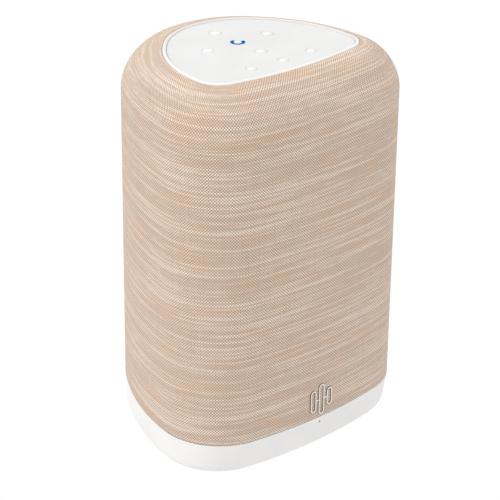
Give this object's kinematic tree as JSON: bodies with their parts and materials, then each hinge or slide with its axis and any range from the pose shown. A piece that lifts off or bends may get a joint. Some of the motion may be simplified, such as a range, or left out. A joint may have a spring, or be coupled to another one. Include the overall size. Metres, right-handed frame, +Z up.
{
  "type": "smart speaker",
  "caption": "Free-standing smart speaker: a fabric-covered body of rounded triangular plan on a white foot, with push keys and a power light on a white top panel.",
  "frame": {"origin": "on the surface it stands on, under the middle of its outer box", "axes": "+Z up, -Y out of the front face that carries the badge, +X to the viewer's right when the viewer looks at the front"},
  "size_m": [0.1938, 0.1729, 0.282],
  "materials": {
    "white_plastic": "satin moulded white",
    "panel_plastic": "satin white panel",
    "key_plastic": "bright white key caps",
    "blue_light": "blue lit light guide",
    "fabric": "plain-woven slubbed cream and tan acoustic cloth",
    "dark_plastic": "fine matt texture",
    "grey_plastic": "matt moulded grey",
    "rubber": "matt black rubber",
    "silicone": "translucent grey silicone",
    "steel": "bright zinc plated",
    "polished_metal": "polished metal emblem",
    "aluminium": "satin",
    "ferrite": "dark ferrite",
    "circuit_board": "green solder mask",
    "paper_cone": "pressed dark fibre",
    "silk": "coated silk",
    "copper_film": "amber polyimide film with copper",
    "dark_lens": "dark clear window"
  },
  "bodies": {
    "speaker": {"base_skirt": "white_plastic", "bottom_cover": "grey_plastic", "foot_pad_left": "rubber", "foot_pad_right": "rubber", "foot_pad_rear": "rubber", "cover_screw_1": "steel", "cover_screw_2": "steel", "cover_screw_3": "steel", "cover_screw_4": "steel", "status_lens": "dark_lens", "connector_plate": "dark_plastic", "mains_inlet": "dark_plastic", "network_socket": "steel", "line_in_jack": "dark_plastic", "main_board": "circuit_board", "power_board": "circuit_board", "amplifier_board": "circuit_board", "heat_sink": "aluminium", "chassis_plate": "grey_plastic", "inner_cabinet": "dark_plastic", "cabinet_lid": "dark_plastic", "grille_cage": "grey_plastic", "fabric_sleeve": "fabric", "front_badge": "polished_metal", "woofer_basket": "dark_plastic", "woofer_magnet": "ferrite", "woofer_surround": "rubber", "woofer_screw_1": "steel", "woofer_screw_2": "steel", "woofer_screw_3": "steel", "woofer_screw_4": "steel", "left_tweeter": "dark_plastic", "right_tweeter": "dark_plastic", "left_radiator_frame": "dark_plastic", "right_radiator_frame": "dark_plastic", "left_radiator_surround": "rubber", "right_radiator_surround": "rubber", "top_bezel": "white_plastic", "control_plate": "panel_plastic", "power_light_arc": "blue_light", "control_tray": "grey_plastic", "control_board": "circuit_board", "silicone_keypad": "silicone", "control_ribbon": "copper_film", "wifi_antenna": "circuit_board"},
    "woofer_cone": {"woofer_cone": "paper_cone"},
    "left_tweeter_dome": {"left_tweeter_dome": "silk"},
    "right_tweeter_dome": {"right_tweeter_dome": "silk"},
    "left_radiator_plate": {"left_radiator_plate": "aluminium"},
    "right_radiator_plate": {"right_radiator_plate": "aluminium"},
    "power_button": {"power_button": "key_plastic"},
    "left_key": {"left_key": "key_plastic"},
    "right_key": {"right_key": "key_plastic"},
    "back_key": {"back_key": "key_plastic"},
    "front_key": {"front_key": "key_plastic"},
    "preset_key_1": {"preset_key_1": "key_plastic"},
    "preset_key_2": {"preset_key_2": "key_plastic"},
    "preset_key_3": {"preset_key_3": "key_plastic"}
  },
  "joints": [
    {"name": "power_button_press", "type": "slide", "parent": "speaker", "child": "power_button", "axis": [0, 0, -1], "range_m": [0, 0.0008], "stiffness_N_per_m": 400, "springref_m": -0.001},
    {"name": "left_key_press", "type": "slide", "parent": "speaker", "child": "left_key", "axis": [0, 0, -1], "range_m": [0, 0.0008], "stiffness_N_per_m": 400, "springref_m": -0.001},
    {"name": "right_key_press", "type": "slide", "parent": "speaker", "child": "right_key", "axis": [0, 0, -1], "range_m": [0, 0.0008], "stiffness_N_per_m": 400, "springref_m": -0.001},
    {"name": "back_key_press", "type": "slide", "parent": "speaker", "child": "back_key", "axis": [0, 0, -1], "range_m": [0, 0.0008], "stiffness_N_per_m": 400, "springref_m": -0.001},
    {"name": "front_key_press", "type": "slide", "parent": "speaker", "child": "front_key", "axis": [0, 0, -1], "range_m": [0, 0.0008], "stiffness_N_per_m": 400, "springref_m": -0.001},
    {"name": "preset_key_1_press", "type": "slide", "parent": "speaker", "child": "preset_key_1", "axis": [0, 0, -1], "range_m": [0, 0.0008], "stiffness_N_per_m": 400, "springref_m": -0.001},
    {"name": "preset_key_2_press", "type": "slide", "parent": "speaker", "child": "preset_key_2", "axis": [0, 0, -1], "range_m": [0, 0.0008], "stiffness_N_per_m": 400, "springref_m": -0.001},
    {"name": "preset_key_3_press", "type": "slide", "parent": "speaker", "child": "preset_key_3", "axis": [0, 0, -1], "range_m": [0, 0.0008], "stiffness_N_per_m": 400, "springref_m": -0.001},
    {"name": "woofer_cone_travel", "type": "slide", "parent": "speaker", "child": "woofer_cone", "axis": [0, -1, 0], "range_m": [-0.0035, 0.0035], "stiffness_N_per_m": 1200, "deforming": ["woofer_surround"]},
    {"name": "left_radiator_travel", "type": "slide", "parent": "speaker", "child": "left_radiator_plate", "axis": [-0.9379, 0.3469, 0], "range_m": [-0.004, 0.004], "stiffness_N_per_m": 800, "deforming": ["left_radiator_surround"]},
    {"name": "right_radiator_travel", "type": "slide", "parent": "speaker", "child": "right_radiator_plate", "axis": [0.9379, 0.3469, 0], "range_m": [-0.004, 0.004], "stiffness_N_per_m": 800, "deforming": ["right_radiator_surround"]},
    {"name": "left_tweeter_travel", "type": "slide", "parent": "speaker", "child": "left_tweeter_dome", "axis": [0, -1, 0], "range_m": [-0.0003, 0.0003], "stiffness_N_per_m": 1000},
    {"name": "right_tweeter_travel", "type": "slide", "parent": "speaker", "child": "right_tweeter_dome", "axis": [0, -1, 0], "range_m": [-0.0003, 0.0003], "stiffness_N_per_m": 1000}
  ]
}
